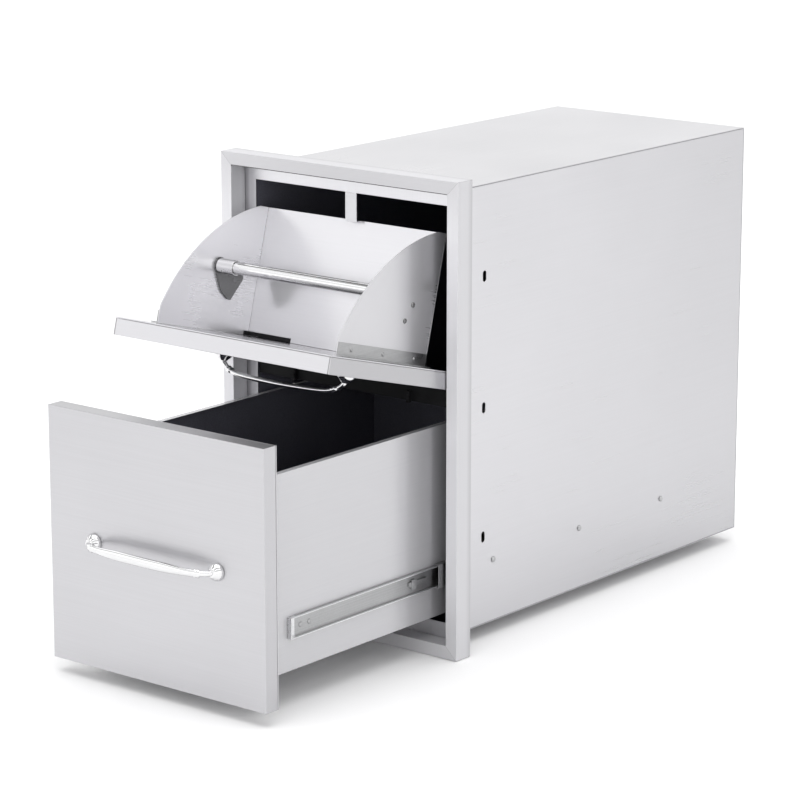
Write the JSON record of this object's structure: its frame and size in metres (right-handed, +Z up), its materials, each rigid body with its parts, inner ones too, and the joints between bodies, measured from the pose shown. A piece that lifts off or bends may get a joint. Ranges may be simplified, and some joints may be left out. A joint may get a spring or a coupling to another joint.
{
  "type": "built-in waste drawer with paper-towel hopper",
  "caption": "Flush-mount stainless cabinet with a full-extension pull-out waste drawer below and a tilt-out paper-towel hopper with side plates and roll bar above.",
  "frame": {"origin": "centre of the face frame opening, on the plane of the frame front", "axes": "+X to the right seen from the front, +Y back into the cabinet, +Z up"},
  "size_m": [0.381, 1.0397, 0.6],
  "materials": {
    "panel_steel": "vertically or horizontally brushed stainless sheet",
    "bright_steel": "polished stainless",
    "slide_zinc": "bright zinc plated",
    "rail_black": "black powder coat",
    "rubber_black": "matt rubber"
  },
  "bodies": {
    "cabinet": {"face_frame": "panel_steel", "frame_back_plate": "panel_steel", "cabinet_side_left": "panel_steel", "cabinet_side_right": "panel_steel", "cabinet_top": "panel_steel", "cabinet_bottom": "panel_steel", "cabinet_back": "panel_steel", "cross_rail": "rail_black", "rail_bumper_left": "rubber_black", "rail_bumper_right": "rubber_black", "lip_bumper_left": "rubber_black", "lip_bumper_right": "rubber_black", "slide_outer_left": "slide_zinc", "slide_outer_right": "slide_zinc", "pivot_pin_left": "slide_zinc", "pivot_pin_right": "slide_zinc"},
    "hopper": {"door_skin": "panel_steel", "door_cover": "panel_steel", "door_handle": "bright_steel", "hopper_floor": "panel_steel", "hopper_side_left": "panel_steel", "hopper_side_right": "panel_steel", "side_angle_left": "slide_zinc", "side_angle_right": "slide_zinc", "bar_bracket_left": "slide_zinc", "bar_bracket_right": "slide_zinc", "notch_pad_left": "rubber_black", "notch_pad_right": "rubber_black"},
    "towel_spindle": {"towel_bar": "bright_steel", "bar_sleeve_left": "bright_steel", "bar_sleeve_right": "bright_steel"},
    "drawer": {"drawer_front_skin": "panel_steel", "drawer_front_cover": "panel_steel", "drawer_handle": "bright_steel", "drawer_side_left": "panel_steel", "drawer_side_right": "panel_steel", "drawer_bottom": "panel_steel", "drawer_back": "panel_steel", "slide_inner_left": "slide_zinc", "slide_inner_right": "slide_zinc", "slide_lever_left": "slide_zinc", "slide_lever_right": "slide_zinc", "drawer_bumper_top_left": "rubber_black", "drawer_bumper_top_right": "rubber_black", "drawer_bumper_bottom_left": "rubber_black", "drawer_bumper_bottom_right": "rubber_black"},
    "slide_mid_l": {"slide_mid_left": "slide_zinc"},
    "slide_mid_r": {"slide_mid_right": "slide_zinc"}
  },
  "joints": [
    {"name": "hopper_hinge", "type": "hinge", "parent": "cabinet", "child": "hopper", "pos_m": [0, 0.0066, 0.0482], "axis": [1, 0, 0], "range_deg": [-75, 0]},
    {"name": "towel_bar_spin", "type": "hinge", "parent": "hopper", "child": "towel_spindle", "pos_m": [0, -0.05832, 0.16716], "axis": [1, 0, 0], "continuous": true},
    {"name": "drawer_slide", "type": "slide", "parent": "cabinet", "child": "drawer", "axis": [0, -1, 0], "range_m": [-0.335, 0.165]},
    {"name": "slide_mid_left_run", "type": "slide", "parent": "cabinet", "child": "slide_mid_l", "axis": [0, -1, 0], "range_m": [-0.1675, 0.0825]},
    {"name": "slide_mid_right_run", "type": "slide", "parent": "cabinet", "child": "slide_mid_r", "axis": [0, -1, 0], "range_m": [-0.1675, 0.0825]}
  ],
  "couplings": [
    {"joint": "slide_mid_left_run", "follows": "drawer_slide", "ratio": 0.5},
    {"joint": "slide_mid_right_run", "follows": "drawer_slide", "ratio": 0.5}
  ]
}
